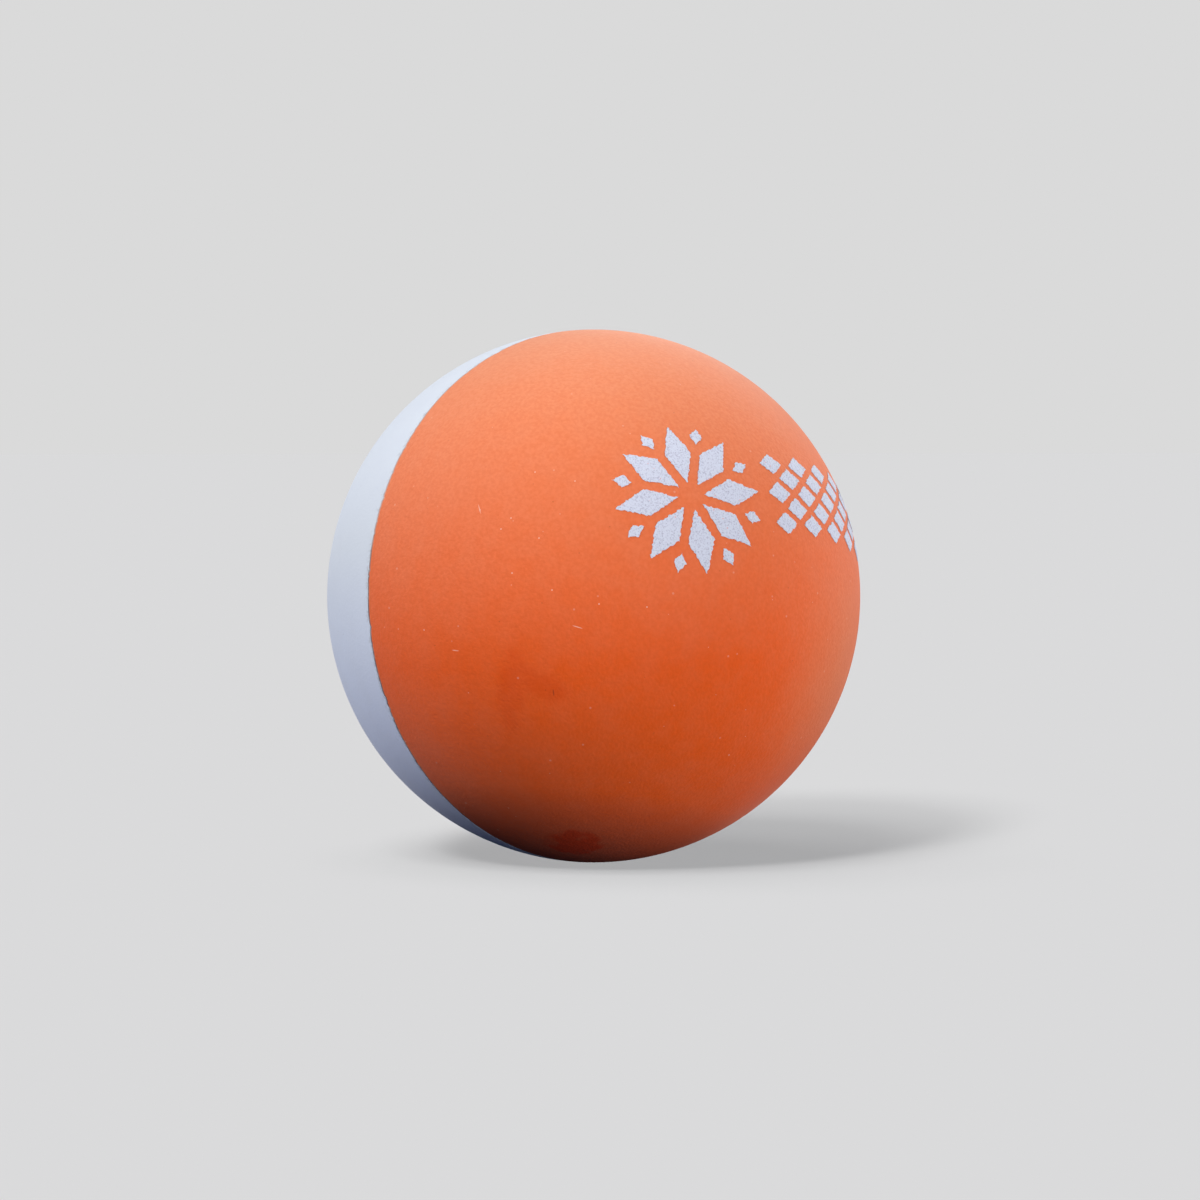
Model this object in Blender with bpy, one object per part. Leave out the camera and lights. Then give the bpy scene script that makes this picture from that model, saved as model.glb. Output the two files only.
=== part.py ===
"""A frontenis ball: two moulded rubber half shells cemented together at the equator.

Metres, +Z up. The origin is the centre of the ball. +X runs along the axis of the two mouldings,
out of the orange half, so the seam stands upright in the YZ plane, as the ball lies in use.
"""

import math

import bmesh
import bpy
from mathutils import Vector

# The ball, by the rules of the game and by its weight
BALL_DIAMETER = 0.0500
WALL_THICKNESS = 0.0068

# The cemented joint between the two rims
CEMENT_THICKNESS = 0.0002
CEMENT_RECESS = 0.0002
BEAD_SPREAD = 0.0009
JOINT_CLEARANCE = 0.0003

# How finely the round surfaces are divided
STEPS_AROUND = 72
OUTER_STEPS = 18
INNER_STEPS = 12
BEAD_STEPS = 6
SHARP_EDGE = math.radians(40)
# Points closer than this share of the cement film are one point
WELD_SHARE = 0.01

# Finishes: base colour as linear red, green, blue, and roughness
ORANGE_RUBBER = ((0.72, 0.13, 0.035), 0.62)
WHITE_RUBBER = ((0.66, 0.70, 0.80), 0.62)
RUBBER_CEMENT = ((0.30, 0.20, 0.15), 0.80)

OUTER_RADIUS = BALL_DIAMETER / 2
INNER_RADIUS = OUTER_RADIUS - WALL_THICKNESS
CEMENT_FACE = CEMENT_THICKNESS / 2
RIM_PLANE = CEMENT_FACE + JOINT_CLEARANCE
BEAD_RADIUS = RIM_PLANE + BEAD_SPREAD
MOULD_AXIS = Vector((1, 0, 0))


def clear_scene():
    for leftover in list(bpy.data.objects):
        bpy.data.objects.remove(leftover)


def rubber(name, finish):
    colour, roughness = finish
    material = bpy.data.materials.new(name)
    material.use_nodes = True
    shader = material.node_tree.nodes["Principled BSDF"]
    shader.inputs["Base Color"].default_value = (*colour, 1)
    shader.inputs["Roughness"].default_value = roughness
    shader.inputs["Metallic"].default_value = 0
    return material


def arc(radius, start, end, steps, centre_height=0.0):
    """Points along an arc in the XZ plane; angles are measured from the mould axis."""
    points = []
    for step in range(steps + 1):
        angle = start + (end - start) * step / steps
        points.append((radius * math.cos(angle), 0, centre_height + radius * math.sin(angle)))
    return points


def turned(name, profile, closed):
    """A mesh turned about the mould axis from an outline of points in the XZ plane."""
    shape = bmesh.new()
    corners = [shape.verts.new(point) for point in profile]
    pairs = list(zip(corners, corners[1:]))
    if closed:
        pairs.append((corners[-1], corners[0]))
    edges = [shape.edges.new(pair) for pair in pairs]
    bmesh.ops.spin(
        shape,
        geom=corners + edges,
        cent=(0, 0, 0),
        axis=MOULD_AXIS,
        angle=math.tau,
        steps=STEPS_AROUND,
        use_merge=True,
    )
    bmesh.ops.remove_doubles(shape, verts=shape.verts, dist=CEMENT_THICKNESS * WELD_SHARE)
    bmesh.ops.recalc_face_normals(shape, faces=shape.faces)
    mesh = bpy.data.meshes.new(name)
    shape.to_mesh(mesh)
    shape.free()
    mesh.shade_smooth()
    mesh.set_sharp_from_angle(angle=SHARP_EDGE)
    return mesh


def half_shell_mesh():
    """One moulding, its pole on +X: the outside, the flat ground rim and the inside."""
    outer_rim = math.acos(RIM_PLANE / OUTER_RADIUS)
    inner_rim = math.acos(RIM_PLANE / INNER_RADIUS)
    outside = arc(OUTER_RADIUS, 0, outer_rim, OUTER_STEPS)
    inside = arc(INNER_RADIUS, inner_rim, 0, INNER_STEPS)
    return turned("half_shell", outside + inside, closed=False)


def cement_mesh():
    """The flat film between the rims, and the round bead that squeezes out inside them."""
    film_edge = OUTER_RADIUS - CEMENT_RECESS
    bead_back = math.sqrt(INNER_RADIUS**2 - BEAD_RADIUS**2) - JOINT_CLEARANCE
    bead = arc(BEAD_RADIUS, 0, -math.pi, BEAD_STEPS, centre_height=bead_back)
    film = [
        (-CEMENT_FACE, 0, bead_back),
        (-CEMENT_FACE, 0, film_edge),
        (CEMENT_FACE, 0, film_edge),
        (CEMENT_FACE, 0, bead_back),
    ]
    return turned("seam_cement", bead + film, closed=True)


def piece(name, mesh, material, parent, turn=0.0):
    made = bpy.data.objects.new(name, mesh)
    mesh.materials.append(material)
    made.rotation_euler.z = turn
    made.parent = parent
    bpy.context.scene.collection.objects.link(made)
    return made


def build():
    clear_scene()
    ball = bpy.data.objects.new("ball_centre", None)
    ball.empty_display_size = OUTER_RADIUS
    bpy.context.scene.collection.objects.link(ball)
    orange = rubber("orange_rubber", ORANGE_RUBBER)
    white = rubber("white_rubber", WHITE_RUBBER)
    cement = rubber("rubber_cement", RUBBER_CEMENT)
    piece("orange_half_shell", half_shell_mesh(), orange, ball)
    piece("white_half_shell", half_shell_mesh(), white, ball, turn=math.pi)
    piece("seam_cement", cement_mesh(), cement, ball)


build()
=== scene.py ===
# %% [markdown]
# A frontenis ball is two moulded cups of rubber, one orange and one white, cemented rim to rim. The
# solids that are loaded here fix its size and place. This lesson makes what a viewer sees on top of
# them: fine shells with a dusty moulded skin, the hairline of cement, a printed mark, and the light.

# %% Load the solids
import math

import bpy
from mathutils import Matrix, Vector, noise


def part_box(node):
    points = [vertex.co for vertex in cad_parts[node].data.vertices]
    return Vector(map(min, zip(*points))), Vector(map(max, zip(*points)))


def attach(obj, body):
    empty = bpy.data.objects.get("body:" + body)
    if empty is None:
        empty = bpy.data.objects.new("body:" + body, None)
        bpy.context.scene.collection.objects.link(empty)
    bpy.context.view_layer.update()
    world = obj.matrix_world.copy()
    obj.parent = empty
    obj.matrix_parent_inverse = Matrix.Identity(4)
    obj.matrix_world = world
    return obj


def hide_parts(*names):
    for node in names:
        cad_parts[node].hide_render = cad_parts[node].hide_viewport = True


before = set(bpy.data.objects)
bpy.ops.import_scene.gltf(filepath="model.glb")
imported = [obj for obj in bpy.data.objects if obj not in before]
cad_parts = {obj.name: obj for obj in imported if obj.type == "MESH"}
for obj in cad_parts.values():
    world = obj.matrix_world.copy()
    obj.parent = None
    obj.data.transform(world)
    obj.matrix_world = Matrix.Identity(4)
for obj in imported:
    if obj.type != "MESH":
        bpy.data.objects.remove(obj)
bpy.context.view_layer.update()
bpy.ops.object.select_all(action="DESELECT")
print("solids:", ", ".join(sorted(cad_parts)))

# %% [markdown]
# Every size is read from the solids or named once, where it is first needed. The ball's centre is the
# origin, and +X runs out of the orange half along the axis of the two mouldings, so the seam lies in
# the YZ plane.

# %% Sizes of the ball
MM = 0.001
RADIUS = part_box("orange_half_shell")[1].x
WALL = 6.8 * MM
FILM = 0.20 * MM
RIM = FILM / 2
print("ball of", round(2 * RADIUS / MM, 2), "mm with a wall of", round(WALL / MM, 2), "mm")

# %% [markdown]
# The camera stands where the photographer stood. A ball's outline is a circle from every side, so the
# direction was worked out from the curve of the seam. The photograph's floor is level and is seen from
# two degrees above it. The ball came to rest with its seam a little off upright. It could be tilted, but
# then it would leave its solids, so it stands straight and the floor leans by as much. The camera is
# held level with that floor.

# %% The camera
PHOTO_SIDE = 1200
PHOTO_MIDDLE = Vector((PHOTO_SIDE / 2, PHOTO_SIDE / 2))
BALL_PIXEL = Vector((593.7, 596.0))
FOCAL_PIXELS = 4256
VIEW_DISTANCE = 16 * RADIUS
VIEW_AZIMUTH = math.radians(54.84)
VIEW_ELEVATION = math.radians(0.31)
FLOOR_LEAN = math.radians(2.07)

floor_up = Vector((math.sin(FLOOR_LEAN), 0, math.cos(FLOOR_LEAN)))
to_viewer = Vector((math.sin(VIEW_AZIMUTH), -math.cos(VIEW_AZIMUTH), math.tan(VIEW_ELEVATION)))
to_viewer.normalize()
to_right = floor_up.cross(to_viewer).normalized()
to_front = to_right.cross(floor_up)
picture_up = to_viewer.cross(to_right)

bpy.ops.object.camera_add(location=to_viewer * VIEW_DISTANCE)
camera = bpy.context.object
camera.name = "camera"
camera.rotation_mode = "QUATERNION"
camera.rotation_quaternion = Matrix((to_right, picture_up, to_viewer)).transposed().to_quaternion()
camera.data.lens = camera.data.sensor_width * FOCAL_PIXELS / PHOTO_SIDE
off_middle = (BALL_PIXEL - PHOTO_MIDDLE) / PHOTO_SIDE
camera.data.shift_x = -off_middle.x
camera.data.shift_y = off_middle.y
bpy.context.scene.camera = camera


def seen_at(pixel_x, pixel_y):
    """The point of the ball's surface that the photograph shows at a pixel."""
    across = (pixel_x - BALL_PIXEL.x) / FOCAL_PIXELS
    down = (pixel_y - BALL_PIXEL.y) / FOCAL_PIXELS
    ray = (camera.rotation_quaternion @ Vector((across, -down, -1))).normalized()
    nearest = -camera.location.dot(ray)
    miss = (camera.location + ray * nearest).length
    return camera.location + ray * (nearest - math.sqrt(RADIUS**2 - miss**2))


print("camera lens", round(camera.data.lens, 1), "mm at", round(VIEW_DISTANCE, 3), "m")

# %% [markdown]
# Materials here are trees of nodes, which could be set and linked one by one. Six small helpers keep
# that short: add puts in a node and links or sets its inputs, reckon does sums, fade turns a value into
# a soft mask between two limits, tint lays one colour over another, grain is soft noise of a given size,
# and new_material starts a finish.

# %% Helpers for nodes
# A Mix node has several sockets of the same names, so those for colours go by their numbers
MIX_BELOW = 6
MIX_ABOVE = 7
MIXED = 2


def add(tree, kind, inputs=None, output=0, **settings):
    """A new node's output socket. An input that is given a socket is linked, any other value is set."""
    made = tree.nodes.new(kind)
    for name, value in settings.items():
        setattr(made, name, value)
    for name, value in (inputs or {}).items():
        if isinstance(value, bpy.types.NodeSocket):
            tree.links.new(value, made.inputs[name])
        else:
            made.inputs[name].default_value = value
    return made.outputs[output]


def reckon(tree, operation, first, second=0.0):
    """A sum of two values, or another operation of the Math node."""
    return add(tree, "ShaderNodeMath", {0: first, 1: second}, operation=operation)


def fade(tree, value, start, end, low=0.0, high=1.0, kind="SMOOTHSTEP"):
    """A soft step, or with LINEAR a straight one: low at start and high from end on."""
    limits = {"Value": value, "From Min": start, "From Max": end, "To Min": low, "To Max": high}
    return add(tree, "ShaderNodeMapRange", limits, interpolation_type=kind)


def tint(tree, share, below, above):
    """One colour laid over another by a share."""
    sides = {"Factor": share, MIX_BELOW: below, MIX_ABOVE: above}
    return add(tree, "ShaderNodeMix", sides, output=MIXED, data_type="RGBA")


def grain(tree, place, size, detail=2.0, roughness=0.5):
    """Soft noise with lumps of about a given size in metres."""
    settings = {"Vector": place, "Scale": 1 / size, "Detail": detail, "Roughness": roughness}
    return add(tree, "ShaderNodeTexNoise", settings)


def new_material(name):
    """An empty material, its tree, its Principled shader and the piece's own coordinates."""
    made = bpy.data.materials.new(name)
    made.use_nodes = True
    tree = made.node_tree
    shader = tree.nodes["Principled BSDF"]
    place = add(tree, "ShaderNodeTexCoord", output="Object")
    return made, tree, shader, place


print("node helpers: add, reckon, fade, tint, grain and new_material")

# %% [markdown]
# The photograph was lit in a soft studio and its ground is one even grey. Area lamps could stand in for
# the soft boxes, but their light fades with distance. A wide sun is as soft, and the same all over. The
# suns that shape the ball are kept off the floor, as flags do in a studio. Four more light the floor
# alone, and three of them throw the ball's shadow. Cycles meets a lamp in two ways, by aiming at it and
# by a ray that hits it by chance. The ball is made invisible to the floor's chance rays further down, so
# they would slip through it and pale its shadow. For the lamps of the floor they are switched off.

# %% The lamps
SOFT_SPREAD = 24
WHITE_LIGHT = (1, 1, 1)
BLUE_LIGHT = (0.3, 0.5, 1.0)

ball_set = bpy.data.collections.new("lit_as_ball")
floor_set = bpy.data.collections.new("lit_as_floor")


def soft_box(name, lights, side, height, level, spread=SOFT_SPREAD, colour=WHITE_LIGHT):
    """A wide lamp. side is in degrees from the viewer round to the right, height is above the floor."""
    turn = math.radians(side)
    rise = math.radians(height)
    level_part = to_front * math.cos(turn) + to_right * math.sin(turn)
    toward = level_part * math.cos(rise) + floor_up * math.sin(rise)
    bpy.ops.object.light_add(type="SUN", location=toward * VIEW_DISTANCE)
    lamp = bpy.context.object
    lamp.name = name
    lamp.rotation_euler = toward.to_track_quat("Z", "Y").to_euler()
    lamp.data.energy = level * math.pi
    lamp.data.angle = math.radians(spread)
    lamp.data.color = colour
    lamp.data.cycles.use_multiple_importance_sampling = lights is ball_set
    lamp.light_linking.receiver_collection = lights
    return lamp


soft_box("front_right", ball_set, side=30, height=2, level=0.93)
soft_box("right", ball_set, side=60, height=2, level=0.47)
soft_box("back_right", ball_set, side=120, height=2, level=0.41)
soft_box("front_left", ball_set, side=-60, height=32, level=0.44)
soft_box("left", ball_set, side=-90, height=32, level=0.36)
soft_box("back_right_high", ball_set, side=150, height=32, level=0.17)
soft_box("front_left_high", ball_set, side=-60, height=48, level=0.18)
soft_box("back_top", ball_set, side=180, height=68, level=0.31)
blue_fill = soft_box("blue_fill", ball_set, side=-120, height=-15, level=0.06, colour=BLUE_LIGHT)
soft_box("floor_low_key", floor_set, side=-22, height=34, level=0.249, spread=10)
soft_box("floor_key", floor_set, side=-24, height=48, level=0.216, spread=22)
soft_box("floor_high_key", floor_set, side=-67, height=76, level=0.092, spread=45)
floor_fill = soft_box("floor_fill", floor_set, side=0, height=90, level=0.470)
for shadowless in (blue_fill, floor_fill):
    shadowless.data.use_shadow = False
print("lamps:", len(bpy.data.lights))

# %% [markdown]
# A pale floor throws light back up, but in the photograph the ball's underside falls away into shade. So
# the ground's grey is only what the camera sees, and for light that bounces from it, floor and world are
# dark. What the rubber mirrors from the floor close by is dark as well, because the ball's own foot
# stands in shade.

# %% The floor and the world
GROUND = 0.701
FLOOR_PAINT = (0.80, 0.80, 0.80, 1)
FLOOR_BOUNCE = (0.02, 0.02, 0.03, 1)
WORLD_FILL = (0.018, 0.018, 0.026, 1)
FLOOR_SIDE = 40
CONTACT_REACH = 4 * RADIUS

scene = bpy.context.scene
scene.view_settings.view_transform = "Standard"


def seen_directly(tree, far=0.0):
    """1 for rays from the camera, or from further than far by way of a mirror or glass, and else 0."""
    path = tree.nodes.new("ShaderNodeLightPath")
    mirror = reckon(tree, "MAXIMUM", path.outputs["Is Glossy Ray"], path.outputs["Is Transmission Ray"])
    if far:
        distance = fade(tree, path.outputs["Ray Length"], 0, far)
        mirror = reckon(tree, "MULTIPLY", mirror, distance)
    return reckon(tree, "MAXIMUM", path.outputs["Is Camera Ray"], mirror)


scene.world = bpy.data.worlds.new("studio")
scene.world.use_nodes = True
tree = scene.world.node_tree
backdrop = add(tree, "ShaderNodeBackground", {"Color": (GROUND, GROUND, GROUND, 1)})
fill = add(tree, "ShaderNodeBackground", {"Color": WORLD_FILL})
sky = add(tree, "ShaderNodeMixShader", {0: seen_directly(tree), 1: fill, 2: backdrop})
tree.links.new(sky, tree.nodes["World Output"].inputs["Surface"])

bpy.ops.mesh.primitive_plane_add(
    size=FLOOR_SIDE, location=-RADIUS * floor_up, rotation=(0, FLOOR_LEAN, 0)
)
floor = bpy.context.object
floor.name = "floor"
floor_set.objects.link(floor)
paint = bpy.data.materials.new("floor_paint")
paint.use_nodes = True
tree = paint.node_tree
tree.nodes.remove(tree.nodes["Principled BSDF"])
pale = add(tree, "ShaderNodeBsdfDiffuse", {"Color": FLOOR_PAINT})
dark = add(tree, "ShaderNodeBsdfDiffuse", {"Color": FLOOR_BOUNCE})
ground = add(tree, "ShaderNodeMixShader", {0: seen_directly(tree, CONTACT_REACH), 1: dark, 2: pale})
tree.links.new(ground, tree.nodes["Material Output"].inputs["Surface"])
floor.data.materials.append(paint)
print("floor leans by", round(math.degrees(FLOOR_LEAN), 2), "degrees")

# %% [markdown]
# Each half is a thick cup that comes out of a mould and has its rim ground flat. A Boolean could cut it
# from two balls, but that leaves thin uneven faces at the rim, where the eye goes first. The cup is a
# turned shape, so only its cross-section is drawn: two circles, for the outside and the inside, are cut
# down to a quarter, their ends are joined into the flat rim, and the rim's outer corner is broken by a
# bevel. Extra points near the rim keep the shading true up to the edge. The Screw modifier then turns
# the outline about the mould axis, in fine steps because the small detail runs along the rim.

# %% The half shells
SEGMENTS = 960
OUTER_POINTS = 160
INNER_POINTS = 96
EDGE_BREAK = 0.06 * MM
EDGE_STEPS = 3
SUPPORTS = (0.16 * MM, 0.40 * MM)
NEAR = 0.01 * MM
SNAP = 0.001 * MM


def cut(at, along, **clear):
    """A cut through all that is in edit mode, square to a direction."""
    bpy.ops.mesh.select_all(action="SELECT")
    bpy.ops.mesh.bisect(plane_co=at, plane_no=along, threshold=SNAP, **clear)


def select_points(mesh, wanted):
    """In object mode, selects the points that pass a test, and the edges between them."""
    for point in mesh.vertices:
        point.select = wanted(point.co)
    for edge in mesh.edges:
        edge.select = all(mesh.vertices[end].select for end in edge.vertices)


def turn_outline(piece):
    """Turns an outline in the XZ plane about the mould axis and points its faces outwards."""
    turn = piece.modifiers.new("turn", "SCREW")
    turn.axis = "X"
    turn.steps = SEGMENTS
    turn.render_steps = SEGMENTS
    bpy.ops.object.modifier_apply(modifier=turn.name)
    bpy.ops.object.mode_set(mode="EDIT")
    bpy.ops.mesh.select_all(action="SELECT")
    bpy.ops.mesh.remove_doubles(threshold=SNAP)
    bpy.ops.mesh.normals_make_consistent(inside=False)
    bpy.ops.object.mode_set(mode="OBJECT")
    bpy.ops.object.shade_smooth()
    print(piece.name, "has", len(piece.data.polygons), "faces")


def half_shell(name, side):
    """One moulding: side is 1 for the half on +X and -1 for the half on -X."""
    upright = (math.pi / 2, 0, 0)
    bpy.ops.mesh.primitive_circle_add(vertices=OUTER_POINTS, radius=RADIUS, rotation=upright)
    shell = bpy.context.object
    shell.name = name
    bpy.ops.object.transform_apply(rotation=True)
    bpy.ops.object.mode_set(mode="EDIT")
    bpy.ops.mesh.primitive_circle_add(vertices=INNER_POINTS, radius=RADIUS - WALL, rotation=upright)
    cut((side * RIM, 0, 0), (side, 0, 0), clear_inner=True)
    cut((0, 0, 0), (0, 0, 1), clear_inner=True)
    for support in SUPPORTS:
        cut((side * support, 0, 0), (side, 0, 0))
    bpy.ops.object.mode_set(mode="OBJECT")
    select_points(shell.data, lambda at: abs(at.x) < RIM + NEAR)
    bpy.ops.object.mode_set(mode="EDIT")
    bpy.ops.mesh.edge_face_add()
    bpy.ops.object.mode_set(mode="OBJECT")
    select_points(shell.data, lambda at: abs(at.x) < RIM + NEAR and at.z > RADIUS - WALL / 2)
    bpy.ops.object.mode_set(mode="EDIT")
    bpy.ops.mesh.bevel(affect="VERTICES", offset=EDGE_BREAK, segments=EDGE_STEPS)
    bpy.ops.object.mode_set(mode="OBJECT")
    turn_outline(shell)
    return shell


orange_shell = half_shell("orange_shell", 1)
white_shell = half_shell("white_shell", -1)

# %% [markdown]
# Cement joins the rims. It is a film a fifth of a millimetre thick, and the surplus squeezes out into
# a bead inside the ball. A disc and a torus pushed together would do, but would leave walls inside one
# another. So both are one outline: a small circle that is opened at the top, where the two ends are
# drawn out into the film and closed with a rounded edge. Then it is turned like the shells.

# %% The cement ring
BEAD_RADIUS = 1.3 * MM
BEAD_POINTS = 24
CEMENT_RECESS = 0.02 * MM
MENISCUS = FILM / 3
MENISCUS_STEPS = 3
bead_height = RADIUS - WALL - BEAD_RADIUS

bpy.ops.mesh.primitive_circle_add(
    vertices=BEAD_POINTS,
    radius=BEAD_RADIUS,
    location=(0, 0, bead_height),
    rotation=(math.pi / 2, math.pi / BEAD_POINTS, 0),
)
cement_ring = bpy.context.object
cement_ring.name = "cement_ring"
bpy.ops.object.transform_apply(location=True, rotation=True)
top = max(point.co.z for point in cement_ring.data.vertices)
select_points(cement_ring.data, lambda at: at.z > top - NEAR)
neck = 2 * max(point.co.x for point in cement_ring.data.vertices if point.select)
bpy.ops.object.mode_set(mode="EDIT")
bpy.ops.transform.resize(value=(FILM / neck, 1, 1))
bpy.ops.mesh.delete(type="EDGE_FACE")
bpy.ops.object.mode_set(mode="OBJECT")
select_points(cement_ring.data, lambda at: at.z > top - NEAR)
bpy.ops.object.mode_set(mode="EDIT")
film_reach = RADIUS - CEMENT_RECESS - top
bpy.ops.mesh.extrude_vertices_move(TRANSFORM_OT_translate={"value": (0, 0, film_reach)})
bpy.ops.mesh.edge_face_add()
bpy.ops.mesh.bevel(affect="VERTICES", offset=MENISCUS, segments=MENISCUS_STEPS)
bpy.ops.object.mode_set(mode="OBJECT")
turn_outline(cement_ring)

# %% [markdown]
# Seen close, the seam isn't a drawn line. It strays by a tenth of a millimetre or so, and it has small
# nicks where the mould's flash was trimmed. A texture could only paint this, so the points themselves
# are moved. Noise read on a circle repeats after one turn, so it leaves no step, and the same noise
# moves both rims and the cement, so it opens no gap.

# %% The seam strays
STRAY = 0.09 * MM
STRAY_TURNS = 5.0
SHIVER = 0.08 * MM
SHIVER_TURNS = 17.0
STRAY_REACH = 3.0 * MM
NICK = 0.50 * MM
NICK_TURNS = 50.0
NICK_ABOVE = 0.25
NICK_REACH = 0.60 * MM
NICK_DEPTH = 0.10 * MM


def round_noise(at, turns):
    """Noise from -1 to 1 that depends only on the angle round the mould axis."""
    circle = Vector((0, at.y, at.z)).normalized()
    return noise.noise(circle * turns)


def stray(piece):
    """Moves a piece's points along the mould axis, less and less away from the seam."""
    for point in piece.data.vertices:
        at = point.co
        near = max(0.0, 1 - abs(at.x) / STRAY_REACH)
        moved = STRAY * round_noise(at, STRAY_TURNS) + SHIVER * round_noise(at, SHIVER_TURNS)
        if abs(at.x) < NICK_REACH and at.length > RADIUS - NICK_DEPTH:
            bite = max(0.0, round_noise(at, NICK_TURNS) - NICK_ABOVE)
            moved += NICK * bite * (1 - abs(at.x) / NICK_REACH)
        point.co.x += moved * near


for piece in (orange_shell, white_shell, cement_ring):
    stray(piece)
print("seam strays by up to", round((STRAY + SHIVER) / MM, 3), "mm")

# %% [markdown]
# Such balls are printed on one half by a soft pad that leaves a thin grainy film of silver ink. Here
# the film carries a plain ornament: a star of eight lozenges, and a harlequin band beside it. It could
# be painted into the rubber's colour, but a film of its own has an edge and can be left off. A lozenge
# is a fine square grid with diagonals of 1, turned by an eighth and stretched. It is made once for each
# size, and copies are set round the ball's pole on +Z.

# %% Lozenges for the printed mark
INK_CELL = 0.16 * MM
STAR_POINTS = 8
STAR_MIDDLE = 4.25 * MM
STAR_LENGTH = 5.9 * MM
STAR_WIDTH = 2.6 * MM
BUD_MIDDLE = 6.35 * MM
BUD_LENGTH = 1.8 * MM
BUD_WIDTH = 1.2 * MM
BAND_START = 10.0 * MM
BAND_PITCH = 2.0 * MM
BAND_COLUMNS = 9
BAND_ROW = 2.9 * MM
BAND_LENGTH = 2.9 * MM
BAND_WIDTH = 2.1 * MM
THREE_ROWS = (-1, 0, 1)
TWO_ROWS = (-0.5, 0.5)
UNIT_SQUARE = math.sqrt(0.5)


def lozenge(length, width):
    """A flat lozenge at the origin, its length along X, in cells fine enough for a ragged edge."""
    cells = round(math.hypot(length, width) / 2 / INK_CELL)
    bpy.ops.mesh.primitive_grid_add(
        x_subdivisions=cells, y_subdivisions=cells, size=UNIT_SQUARE, rotation=(0, 0, math.pi / 4)
    )
    bpy.ops.object.transform_apply(rotation=True)
    bpy.ops.object.mode_set(mode="EDIT")
    bpy.ops.transform.resize(value=(length, width, 1))
    bpy.ops.object.mode_set(mode="OBJECT")
    return bpy.context.object


def set_on_ball(source, along, across=0.0, turn=0.0):
    """A copy of a lozenge, moved along and across the ball by arc lengths, then turned about +Z."""
    copy = source.copy()
    copy.data = source.data.copy()
    bpy.context.collection.objects.link(copy)
    copy.matrix_world = (
        Matrix.Rotation(turn, 4, "Z")
        @ Matrix.Rotation(along / RADIUS, 4, "Y")
        @ Matrix.Rotation(-across / RADIUS, 4, "X")
        @ Matrix.Translation((0, 0, RADIUS))
    )
    copies.append(copy)


copies = []
ray_shape = lozenge(STAR_LENGTH, STAR_WIDTH)
bud_shape = lozenge(BUD_LENGTH, BUD_WIDTH)
band_shape = lozenge(BAND_LENGTH, BAND_WIDTH)
for number in range(STAR_POINTS):
    turn = math.tau * number / STAR_POINTS
    set_on_ball(ray_shape, STAR_MIDDLE, turn=turn)
    set_on_ball(bud_shape, BUD_MIDDLE, turn=turn + math.pi / STAR_POINTS)
for column in range(BAND_COLUMNS):
    rows = THREE_ROWS if column % 2 == 0 else TWO_ROWS
    for row in rows:
        set_on_ball(band_shape, BAND_START + column * BAND_PITCH, across=row * BAND_ROW)
for shape in (ray_shape, bud_shape, band_shape):
    bpy.data.objects.remove(shape)
print("lozenges:", len(copies))

# %% [markdown]
# A soft pad presses unevenly, so the outlines of the ink are ragged. They could be drawn so, point by
# point, but a random shake of the outline does it at once. The lozenges are joined first, so that one
# shake serves all. Then they are cast onto the ball, given the thickness of the film, and turned
# together from the pole to their place.

# %% The printed mark
INK_RAGGED = 0.08 * MM
RAGGED_SEED = 7
INK_SUNK = 0.005 * MM
INK_FILM = 0.025 * MM
MARK_PIXEL = (691, 496)
MARK_RIGHT_PIXEL = (751, 492)

bpy.ops.object.select_all(action="DESELECT")
for copy in copies:
    copy.select_set(True)
printed_mark = copies[0]
bpy.context.view_layer.objects.active = printed_mark
bpy.ops.object.join()
bpy.ops.object.transform_apply(location=True, rotation=True)
printed_mark.name = "printed_mark"
bpy.ops.object.mode_set(mode="EDIT")
bpy.ops.mesh.select_all(action="DESELECT")
bpy.ops.mesh.select_non_manifold()
bpy.ops.transform.vertex_random(offset=INK_RAGGED, uniform=1, seed=RAGGED_SEED)
bpy.ops.object.mode_set(mode="OBJECT")
onto_ball = printed_mark.modifiers.new("onto_ball", "CAST")
onto_ball.factor = 1
onto_ball.size = RADIUS - INK_SUNK
bpy.ops.object.modifier_apply(modifier=onto_ball.name)
film = printed_mark.modifiers.new("film", "SOLIDIFY")
film.thickness = INK_FILM
film.offset = 1
bpy.ops.object.modifier_apply(modifier=film.name)

mark_out = seen_at(*MARK_PIXEL).normalized()
mark_right = seen_at(*MARK_RIGHT_PIXEL) - seen_at(*MARK_PIXEL)
mark_up = mark_out.cross(mark_right).normalized()
mark_axes = Matrix((mark_up.cross(mark_out), mark_up, mark_out)).transposed()
printed_mark.rotation_euler = mark_axes.to_euler()
bpy.ops.object.transform_apply(rotation=True)
bpy.ops.object.shade_smooth_by_angle()
print(printed_mark.name, "has", len(printed_mark.data.polygons), "faces")

# %% [markdown]
# The skin of moulded rubber isn't glassy: it has a fine grain on a soft orange peel, and lint and dust
# lie on it. Pictures of rubber could be wrapped round the ball, but noise in the ball's own space has no
# seams and no poles. Both halves share it, so these are helpers. Scattered specks are balls in space,
# drawn where the surface cuts them, which gives them many sizes. A streak is a soft ellipsoid between
# two points of the ball, for fibres, smudges and wiped places.

# %% Helpers for skin
PEEL_SIZE = 1.0 * MM
PEEL_HEIGHT = 0.022 * MM
GRAIN_SIZE = 0.26 * MM
GRAIN_HEIGHT = 0.044 * MM
GRAIN_DETAIL = 3
SPECK_CORE = 0.4
FRAY_SIZE = 1.2 * MM
FRAY_DETAIL = 4
FRAY_LIMITS = (0.25, 0.75)


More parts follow.
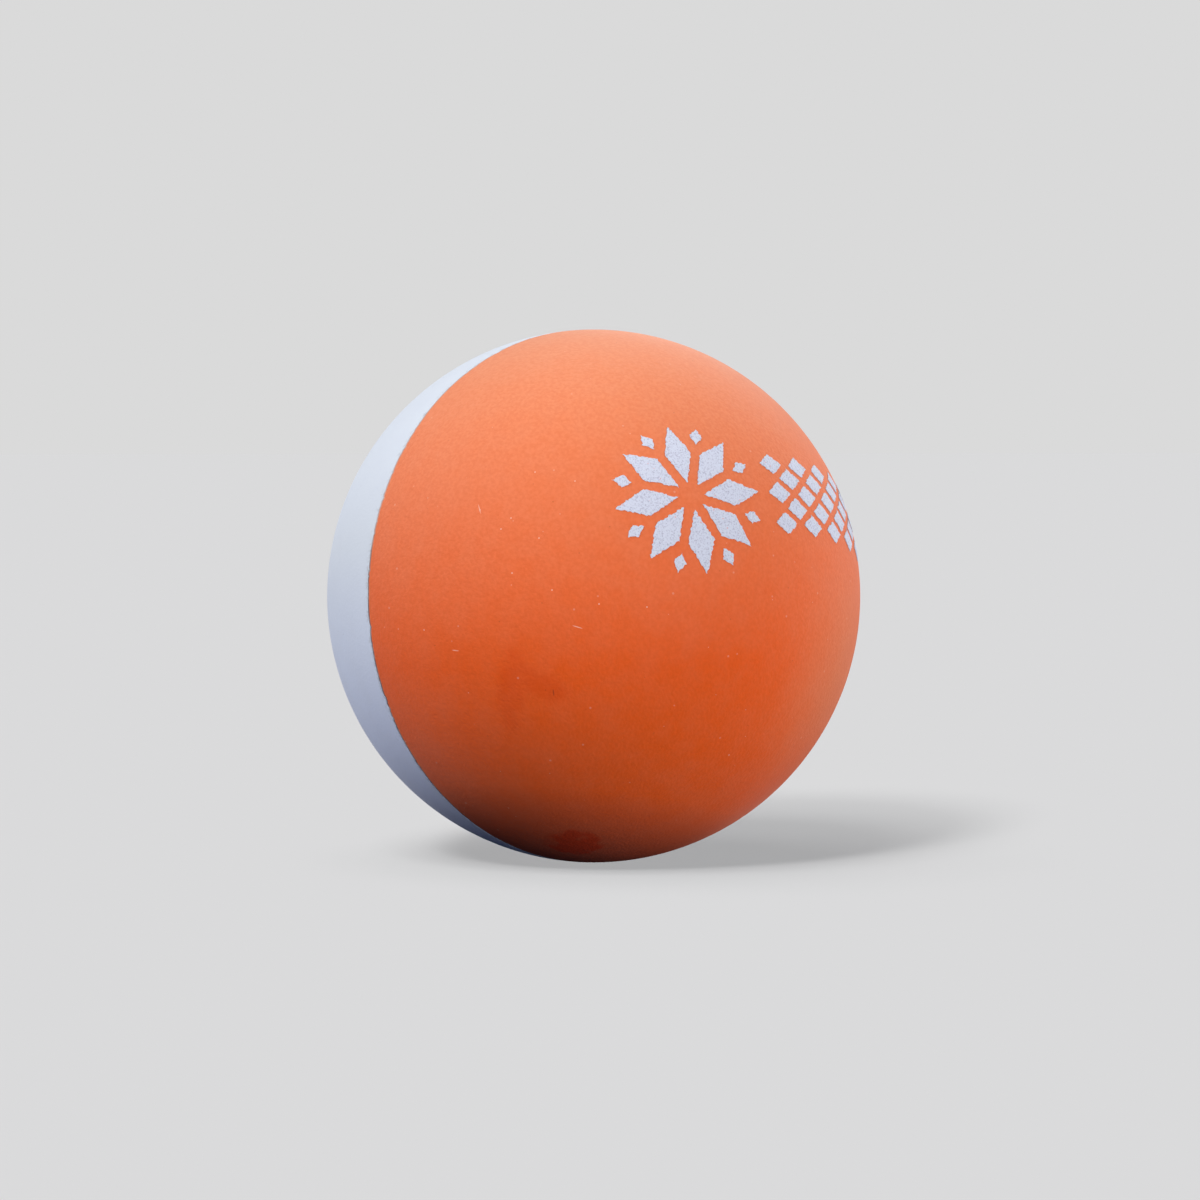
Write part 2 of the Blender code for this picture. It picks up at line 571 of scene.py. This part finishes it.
def along_axis(tree, place, axis):
    """How far a point lies along X, Y or Z."""
    return add(tree, "ShaderNodeSeparateXYZ", {"Vector": place}, output=axis)


def skin_bump(tree, place, depth):
    """The moulded skin, fine grain on soft orange peel. Depth 1 is the full one."""
    peel = grain(tree, place, PEEL_SIZE)
    first = add(tree, "ShaderNodeBump", {"Height": peel, "Distance": PEEL_HEIGHT * depth})
    fine = grain(tree, place, GRAIN_SIZE, detail=GRAIN_DETAIL)
    relief = {"Height": fine, "Distance": GRAIN_HEIGHT * depth, "Normal": first}
    return add(tree, "ShaderNodeBump", relief)


def scatter(tree, place, cell, radius, shift=0.0):
    """A mask of dots of up to a radius, about one to a cell. A shift gives another scatter."""
    moved = add(tree, "ShaderNodeVectorMath", {0: place, 1: (shift, shift, shift)}, operation="ADD")
    distance = add(tree, "ShaderNodeTexVoronoi", {"Vector": moved, "Scale": 1 / cell}, output="Distance")
    return fade(tree, distance, radius / cell, SPECK_CORE * radius / cell)


def spots(tree, place, pixels, radius):
    """A mask of dots at pixels of the photograph."""
    nearest = None
    for pixel in pixels:
        ends = {0: place, 1: seen_at(*pixel)}
        away = add(tree, "ShaderNodeVectorMath", ends, output="Value", operation="DISTANCE")
        nearest = reckon(tree, "MINIMUM", nearest, away) if nearest else away
    return fade(tree, nearest, radius, SPECK_CORE * radius)


def streak(tree, place, ends, half_width):
    """1 in the middle of a patch between two pixels of the photograph, and 0 from its outline on."""
    first = seen_at(*ends[0])
    last = seen_at(*ends[1])
    lie = {
        "Vector": place,
        "Location": (first + last).normalized() * RADIUS,
        "Rotation": (last - first).to_track_quat("X", "Z").to_euler(),
        "Scale": ((last - first).length / 2, half_width, half_width),
    }
    local = add(tree, "ShaderNodeMapping", lie, vector_type="TEXTURE")
    return add(tree, "ShaderNodeTexGradient", {"Vector": local}, output=1, gradient_type="SPHERICAL")


def frayed(tree, place, mask, depth):
    """A mask whose outline is torn by noise, which takes or adds up to a share of it."""
    tear = grain(tree, place, FRAY_SIZE, detail=FRAY_DETAIL)
    tear = fade(tree, tear, *FRAY_LIMITS, low=1 - depth, high=1 + depth)
    return reckon(tree, "MULTIPLY", mask, tear)


def largest(tree, masks):
    """Several masks as one."""
    joined = masks[0]
    for mask in masks[1:]:
        joined = reckon(tree, "MAXIMUM", joined, mask)
    return joined


print("skin: grain of", GRAIN_SIZE / MM, "mm on orange peel of", PEEL_SIZE / MM, "mm")

# %% [markdown]
# A thumb has wiped the bloom off in one place. It left two soft streaks that meet like an L, and low
# down the ridges of the skin still show. This could be painted onto the mesh by hand, but soft masks
# between points of the photograph are easier to move. Rings round a point beside the streaks stand in
# for the ridges.

# %% Where a thumb wiped the rubber
WIPED_DOWN = ((518, 616), (511, 756))
WIPED_ACROSS = ((496, 664), (584, 702))
WIPED_HALF_WIDTH = 1.9 * MM
WIPED_LIMITS = (0.0, 0.80)
WIPED_FRAY = 0.35
RIDGED = ((522, 672), (508, 760))
RIDGED_HALF_WIDTH = 2.4 * MM
RIDGED_LIMITS = (0.05, 0.35)
RIDGE_CENTRE = (478, 742)
RIDGE_PITCH = 0.36 * MM
RIDGE_STRAY = 1.5
RIDGE_KEEPS = 0.65
# A wave texture of scale 1 repeats after this length
WAVE_LENGTH = math.tau / 20


def wiped_mask(tree, place):
    """The two streaks with torn outlines, weaker where the ridges of the skin left bloom behind."""
    wiped = [streak(tree, place, ends, WIPED_HALF_WIDTH) for ends in (WIPED_DOWN, WIPED_ACROSS)]
    wiped = fade(tree, frayed(tree, place, largest(tree, wiped), WIPED_FRAY), *WIPED_LIMITS)
    aside = add(
        tree, "ShaderNodeVectorMath", {0: place, 1: seen_at(*RIDGE_CENTRE)}, operation="SUBTRACT"
    )
    rings = {"Vector": aside, "Scale": WAVE_LENGTH / RIDGE_PITCH, "Distortion": RIDGE_STRAY}
    ridges = add(
        tree, "ShaderNodeTexWave", rings, output=1, wave_type="RINGS", rings_direction="SPHERICAL"
    )
    ridged = fade(tree, streak(tree, place, RIDGED, RIDGED_HALF_WIDTH), *RIDGED_LIMITS)
    left = fade(tree, reckon(tree, "MULTIPLY", ridges, ridged), 0, 1, low=1, high=RIDGE_KEEPS)
    return reckon(tree, "MULTIPLY", wiped, left)


wiped_length = (seen_at(*WIPED_DOWN[1]) - seen_at(*WIPED_DOWN[0])).length
print("wiped streak of", round(wiped_length / MM, 1), "mm")

# %% [markdown]
# Vulcanised rubber comes out of the mould with a satin skin. In time a pale bloom of wax and chalk
# rises to it, and dust settles on top, so the orange is never one colour. One noise could mottle it, but
# each layer has its own cause and place, so they are laid over one another in turn. The bloom lies in
# soft clouds and is thicker by the seam, where a pale sheen is painted in with it. One edge has a
# painted pale sheen. Towards the top a painted highlight joins the dust, and the side below is darkened
# by painted shade.

# %% Orange rubber
ORANGE = (0.83, 0.103, 0.009, 1)
DEEP_ORANGE = (0.60, 0.074, 0.006, 1)
WIPED_ORANGE = (0.71, 0.067, 0.003, 1)
BLOOM = (0.72, 0.40, 0.30, 1)
# Dust with a painted highlight: the top pales towards this colour
DUST_AND_HIGHLIGHT = (0.63, 0.72, 0.45, 1)
CLOUD_SIZE = 2.6 * MM
CLOUD_DETAIL = 8
CLOUD_ROUGHNESS = 0.68
CLOUD_LIMITS = (0.30, 0.72)
CLOUD_SHARE = 0.055
# Bloom by the seam, with a painted pale sheen there too
SEAM_BLOOM_AND_SHEEN_WIDTH = 14 * MM
SEAM_BLOOM_AND_SHEEN_SHARE = 0.03
# Painted sheen: a pale patch along the lower right edge, where light grazes the rubber
SHEEN_PAINTED_ORANGE = (0.54, 0.43, 0.25, 1)
SHEEN_PAINTED_EDGE = ((744, 811), (840, 506))
SHEEN_PAINTED_HALF_WIDTH = 15 * MM
SHEEN_PAINTED_SHARE = 0.25
DUST_AND_HIGHLIGHT_FROM = -0.25 * RADIUS
DUST_AND_HIGHLIGHT_SHARE = 0.275
# Painted shade: the side below is darkened towards this colour
PAINTED_SHADE_BELOW = (0.06, 0.045, 0.055, 1)
SHADE_TO_FRONT = 0.2
SHADE_TO_LEFT = 0.08
SHADE_FROM = 0.80 * RADIUS
SHADE_SHARE = 0.66
WIPED_SHARE = 0.45
PIGMENT_SIZE = 0.35 * MM
PIGMENT_DETAIL = 3
PIGMENT_LIMITS = (0.3, 0.7)
PIGMENT_SHARE = 0.20

# The side below, where shade is painted on, leans a little to the front and left
shaded_side = (SHADE_TO_FRONT * to_front - SHADE_TO_LEFT * to_right - floor_up).normalized()


def towards_shade(tree, place):
    """How far out a point lies on the side that gets painted shade."""
    sides = {0: place, 1: shaded_side}
    return add(tree, "ShaderNodeVectorMath", sides, output="Value", operation="DOT_PRODUCT")


def bloomed_orange(tree, place):
    """Orange under bloom, dust, painted sheen, highlight and shade, a grain of pigment, deeper where
    wiped.
    """
    clouds = grain(tree, place, CLOUD_SIZE, detail=CLOUD_DETAIL, roughness=CLOUD_ROUGHNESS)
    clouds = fade(tree, clouds, *CLOUD_LIMITS, high=CLOUD_SHARE)
    # Bloom by the seam, partly painted sheen
    by_seam = fade(tree, along_axis(tree, place, "X"), SEAM_BLOOM_AND_SHEEN_WIDTH, 0, high=SEAM_BLOOM_AND_SHEEN_SHARE)
    bloom = reckon(tree, "ADD", clouds, by_seam)
    colour = tint(tree, bloom, ORANGE, BLOOM)
    # A painted sheen along one edge
    painted_sheen = fade(tree, streak(tree, place, SHEEN_PAINTED_EDGE, SHEEN_PAINTED_HALF_WIDTH), 0, 1, high=SHEEN_PAINTED_SHARE)
    colour = tint(tree, painted_sheen, colour, SHEEN_PAINTED_ORANGE)
    # Dust with a painted highlight, growing towards the top
    height = along_axis(tree, place, "Z")
    dust_and_highlight = fade(tree, height, DUST_AND_HIGHLIGHT_FROM, RADIUS, high=DUST_AND_HIGHLIGHT_SHARE, kind="LINEAR")
    colour = tint(tree, dust_and_highlight, colour, DUST_AND_HIGHLIGHT)
    # Painted shade on the side below
    below_shade = towards_shade(tree, place)
    below_shade = fade(tree, below_shade, SHADE_FROM, RADIUS, high=SHADE_SHARE, kind="LINEAR")
    colour = tint(tree, below_shade, colour, PAINTED_SHADE_BELOW)
    pigment = grain(tree, place, PIGMENT_SIZE, detail=PIGMENT_DETAIL)
    pigment = fade(tree, pigment, *PIGMENT_LIMITS, high=PIGMENT_SHARE)
    colour = tint(tree, pigment, colour, DEEP_ORANGE)
    wiped = fade(tree, wiped_mask(tree, place), 0, 1, high=WIPED_SHARE)
    return tint(tree, wiped, colour, WIPED_ORANGE)


print("soiled side points to", [round(part, 2) for part in shaded_side])

# %% [markdown]
# On top of the colour lies what the ball picked up: pale lint and chalk, a few dark grains, and three or
# four fibres. Underneath lies a darker patch. Each grain could be modelled, but it is no more than a dot
# of colour, so masks colour them in. Small ones fall by chance, and the marks that catch the eye are put
# where they are seen.

# %% What lies on the orange rubber
LINT = (0.88, 0.80, 0.70, 1)
SOOT = (0.22, 0.03, 0.01, 1)
UNDER_PATCH = (0.45, 0.022, 0.002, 1)
CHALK_CELL = 2.4 * MM
CHALK_RADIUS = 0.15 * MM
CHALK_SHARE = 0.16
LINT_CELL = 1.6 * MM
LINT_RADIUS = 0.065 * MM
LINT_SHARE = 0.30
LINT_SHIFT = 0.3
SOOT_CELL = 1.9 * MM
SOOT_RADIUS = 0.09 * MM
SOOT_SHARE = 0.30
SOOT_SHIFT = 0.7
BRIGHT_PIXELS = (
    (552, 590), (599, 604), (511, 518), (647, 607), (424, 630), (535, 472), (512, 573), (480, 510),
    (729, 755), (539, 538), (501, 529), (575, 481),
)
BRIGHT_RADIUS = 0.085 * MM
BRIGHT_SHARE = 0.55
FIBRES = (
    ((571, 625), (584, 629)),
    ((478, 503), (481, 515)),
    ((451, 650), (460, 651)),
)
FIBRE_HALF_WIDTH = 0.055 * MM
FIBRE_LIMITS = (0.05, 0.5)
FIBRE_SHARE = 0.4
DARK_FIBRES = (((553, 688), (554, 697)),)
DARK_FIBRE_HALF_WIDTH = 0.09 * MM
DARK_FIBRE_SHARE = 0.5
UNDER_PATCH_ENDS = ((538, 838), (609, 846))
UNDER_PATCH_HALF_WIDTH = 3.8 * MM
UNDER_PATCH_FRAY = 0.7
UNDER_PATCH_LIMITS = (0.08, 0.40)
UNDER_PATCH_SHARE = 0.65


def laid_on(tree, place, colour):
    """Lint, chalk, soot, fibres and the darker patch underneath over a colour."""
    # A darker patch at the bottom of the ball
    under_patch = frayed(tree, place, streak(tree, place, UNDER_PATCH_ENDS, UNDER_PATCH_HALF_WIDTH), UNDER_PATCH_FRAY)
    colour = tint(tree, fade(tree, under_patch, *UNDER_PATCH_LIMITS, high=UNDER_PATCH_SHARE), colour, UNDER_PATCH)
    chalk = scatter(tree, place, CHALK_CELL, CHALK_RADIUS)
    lint = scatter(tree, place, LINT_CELL, LINT_RADIUS, shift=LINT_SHIFT)
    bright = spots(tree, place, BRIGHT_PIXELS, BRIGHT_RADIUS)
    fibres = [streak(tree, place, ends, FIBRE_HALF_WIDTH) for ends in FIBRES]
    pale = [
        fade(tree, chalk, 0, 1, high=CHALK_SHARE),
        fade(tree, lint, 0, 1, high=LINT_SHARE),
        fade(tree, bright, 0, 1, high=BRIGHT_SHARE),
        fade(tree, largest(tree, fibres), *FIBRE_LIMITS, high=FIBRE_SHARE),
    ]
    colour = tint(tree, largest(tree, pale), colour, LINT)
    grains = scatter(tree, place, SOOT_CELL, SOOT_RADIUS, shift=SOOT_SHIFT)
    fibres = [streak(tree, place, ends, DARK_FIBRE_HALF_WIDTH) for ends in DARK_FIBRES]
    dark = [
        fade(tree, grains, 0, 1, high=SOOT_SHARE),
        fade(tree, largest(tree, fibres), *FIBRE_LIMITS, high=DARK_FIBRE_SHARE),
    ]
    return tint(tree, largest(tree, dark), colour, SOOT)


print("placed by hand:", len(BRIGHT_PIXELS), "specks and", len(FIBRES + DARK_FIBRES), "fibres")

# %% [markdown]
# Rubber hardly shines. Its gloss could come and go with the bloom, but nothing of the kind is seen, so
# both halves have one roughness, one faint gloss and one faint sheen, which is the pale rim of a dusty
# skin at a flat angle. They are the same all over and are set on the shader itself. Only colours and the
# skin come from nodes. Under the painted shade below, the sheen's tint goes dark, so no rim shows there.

# %% Orange rubber, put together
RUBBER_ROUGHNESS = 0.65
RUBBER_GLOSS = 0.12
RUBBER_SHEEN = 0.12
SHEEN_ROUGHNESS = 0.50
# Under the painted shade below, the sheen's tint is faded to dark
FULL_SHEEN = (1, 1, 1, 1)
SHADED_SHEEN = (0, 0, 0, 1)
SHEEN_FADES_FROM = 0.70 * RADIUS
SHEEN_FADES_TO = 0.96 * RADIUS


def rubber_shader(tree, place, shader, colour, skin_depth=1.0):
    """Rubber of a colour, with its skin. Depth 1 is the full skin."""
    tree.links.new(colour, shader.inputs["Base Color"])
    tree.links.new(skin_bump(tree, place, skin_depth), shader.inputs["Normal"])
    shader.inputs["Roughness"].default_value = RUBBER_ROUGHNESS
    shader.inputs["Specular IOR Level"].default_value = RUBBER_GLOSS
    shader.inputs["Sheen Weight"].default_value = RUBBER_SHEEN
    shader.inputs["Sheen Roughness"].default_value = SHEEN_ROUGHNESS


def orange_rubber():
    """The finish of the orange half."""
    made, tree, shader, place = new_material("orange_rubber_skin")
    rubber_shader(tree, place, shader, laid_on(tree, place, bloomed_orange(tree, place)))
    # The sheen fades to dark under the painted shade of the side below
    shaded = fade(tree, towards_shade(tree, place), SHEEN_FADES_FROM, SHEEN_FADES_TO)
    tree.links.new(tint(tree, shaded, FULL_SHEEN, SHADED_SHEEN), shader.inputs["Sheen Tint"])
    return made


orange_finish = orange_rubber()
print("orange rubber has", len(orange_finish.node_tree.nodes), "nodes")

# %% [markdown]
# The white half is the same rubber with chalk in place of the orange pigment. The orange finish in other
# colours could do, but bloom doesn't show on white, so this one is shorter and its skin looks smoother.
# It leans to blue, and low down a bluer shade is painted in. Dirt collects along the seam and fades
# out on the white side.

# %% White rubber
WHITE = (0.655, 0.705, 0.79, 1)
# Painted blue shade: low down the white turns towards this colour
BLUE_SHADE_WHITE = (0.63, 0.70, 0.98, 1)
BLUE_SHADE_FROM = 0.2 * RADIUS
BLUE_SHADE_TO = -0.8 * RADIUS
SHADED_WHITE = (0.58, 0.62, 0.73, 1)
DIRT = (0.24, 0.21, 0.22, 1)
DIRT_REACH = 0.9 * MM
DIRT_SIZE = 0.5 * MM
DIRT_DETAIL = 4
DIRT_ROUGHNESS = 0.65
DIRT_LIMITS = (0.45, 0.75)
DIRT_SHARE = 0.5
WHITE_CLOUD_DETAIL = 5
WHITE_CLOUD_LIMITS = (0.40, 0.75)
WHITE_CLOUD_SHARE = 0.15
WHITE_SOOT_SHIFT = 0.4
WHITE_SKIN_DEPTH = 0.4


def white_rubber():
    """The finish of the white half."""
    made, tree, shader, place = new_material("white_rubber_skin")
    clouds = grain(tree, place, CLOUD_SIZE, detail=WHITE_CLOUD_DETAIL)
    clouds = fade(tree, clouds, *WHITE_CLOUD_LIMITS, high=WHITE_CLOUD_SHARE)
    # Painted blue shade, growing towards the bottom
    low = fade(tree, along_axis(tree, place, "Z"), BLUE_SHADE_FROM, BLUE_SHADE_TO, kind="LINEAR")
    colour = tint(tree, clouds, tint(tree, low, WHITE, BLUE_SHADE_WHITE), SHADED_WHITE)
    patches = grain(tree, place, DIRT_SIZE, detail=DIRT_DETAIL, roughness=DIRT_ROUGHNESS)
    patches = fade(tree, patches, *DIRT_LIMITS)
    by_seam = fade(tree, along_axis(tree, place, "X"), -DIRT_REACH, 0, high=DIRT_SHARE)
    colour = tint(tree, reckon(tree, "MULTIPLY", patches, by_seam), colour, DIRT)
    grains = scatter(tree, place, SOOT_CELL, SOOT_RADIUS, shift=WHITE_SOOT_SHIFT)
    colour = tint(tree, fade(tree, grains, 0, 1, high=SOOT_SHARE), colour, DIRT)
    rubber_shader(tree, place, shader, colour, WHITE_SKIN_DEPTH)
    return made


white_finish = white_rubber()
print("white rubber has", len(white_finish.node_tree.nodes), "nodes")

# %% [markdown]
# The cement shows only as a hairline. It is grey brown and uneven, and paler and warmer further up. The
# ink is a grainy film of silver. It could be a metal, but its flakes lie every which way and mirror
# nothing, so it is a dull paint in two greys, and the orange shows through in pinholes.

# %% Cement and ink
CEMENT = (0.20, 0.15, 0.14, 1)
CEMENT_PALE = (0.42, 0.34, 0.32, 1)
CEMENT_UPPER = (0.70, 0.36, 0.26, 1)
CEMENT_PATCH = 0.8 * MM
CEMENT_DETAIL = 3
CEMENT_LIMITS = (0.35, 0.65)
UPPER_FROM = 0.05 * RADIUS
UPPER_TO = 0.35 * RADIUS
CEMENT_ROUGHNESS = 0.8
INK = (0.64, 0.67, 0.79, 1)
INK_DARK = (0.40, 0.40, 0.53, 1)
INK_FLAKE = 0.16 * MM
FLAKE_DETAIL = 3
FLAKE_ROUGHNESS = 0.6
INK_LIMITS = (0.46, 0.72)
INK_ROUGHNESS = 0.6
PINHOLE_CELL = 0.7 * MM
PINHOLE_RADIUS = 0.09 * MM
PINHOLE_SHARE = 0.5
PINHOLE_SHIFT = 0.2


def rubber_cement():
    """The finish of the hairline between the halves."""
    made, tree, shader, place = new_material("cement_line")
    patches = fade(tree, grain(tree, place, CEMENT_PATCH, detail=CEMENT_DETAIL), *CEMENT_LIMITS)
    colour = tint(tree, patches, CEMENT, CEMENT_PALE)
    # Paler and warmer towards the top
    upper = fade(tree, along_axis(tree, place, "Z"), UPPER_FROM, UPPER_TO)
    tree.links.new(tint(tree, upper, colour, CEMENT_UPPER), shader.inputs["Base Color"])
    shader.inputs["Roughness"].default_value = CEMENT_ROUGHNESS
    return made


def silver_ink():
    """The finish of the printed film."""
    made, tree, shader, place = new_material("silver_ink_film")
    flakes = grain(tree, place, INK_FLAKE, detail=FLAKE_DETAIL, roughness=FLAKE_ROUGHNESS)
    flakes = fade(tree, flakes, *INK_LIMITS)
    colour = tint(tree, flakes, INK, INK_DARK)
    pinholes = scatter(tree, place, PINHOLE_CELL, PINHOLE_RADIUS, shift=PINHOLE_SHIFT)
    colour = tint(tree, fade(tree, pinholes, 0, 1, high=PINHOLE_SHARE), colour, ORANGE)
    tree.links.new(colour, shader.inputs["Base Color"])
    shader.inputs["Roughness"].default_value = INK_ROUGHNESS
    shader.inputs["Specular IOR Level"].default_value = RUBBER_GLOSS
    return made


cement_finish = rubber_cement()
ink_finish = silver_ink()
print("cement has", len(cement_finish.node_tree.nodes), "nodes, ink", len(ink_finish.node_tree.nodes))

# %% [markdown]
# Last, each piece gets its finish, rides on the ball's one body and stands for the solid it covers. The
# pieces are hidden from diffuse rays, so that the ball lends no orange to the grey floor.

# %% Finish and attach
PIECES = (
    (orange_shell, orange_finish, "orange_rubber", "orange_half_shell"),
    (white_shell, white_finish, "white_rubber", "white_half_shell"),
    (cement_ring, cement_finish, "rubber_cement", "seam_cement"),
    (printed_mark, ink_finish, "silver_ink", None),
)
for piece, finish, slot, node in PIECES:
    piece.data.materials.clear()
    piece.data.materials.append(finish)
    ball_set.objects.link(piece)
    piece.visible_diffuse = False
    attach(piece, "root")
    if node:
        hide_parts(node)
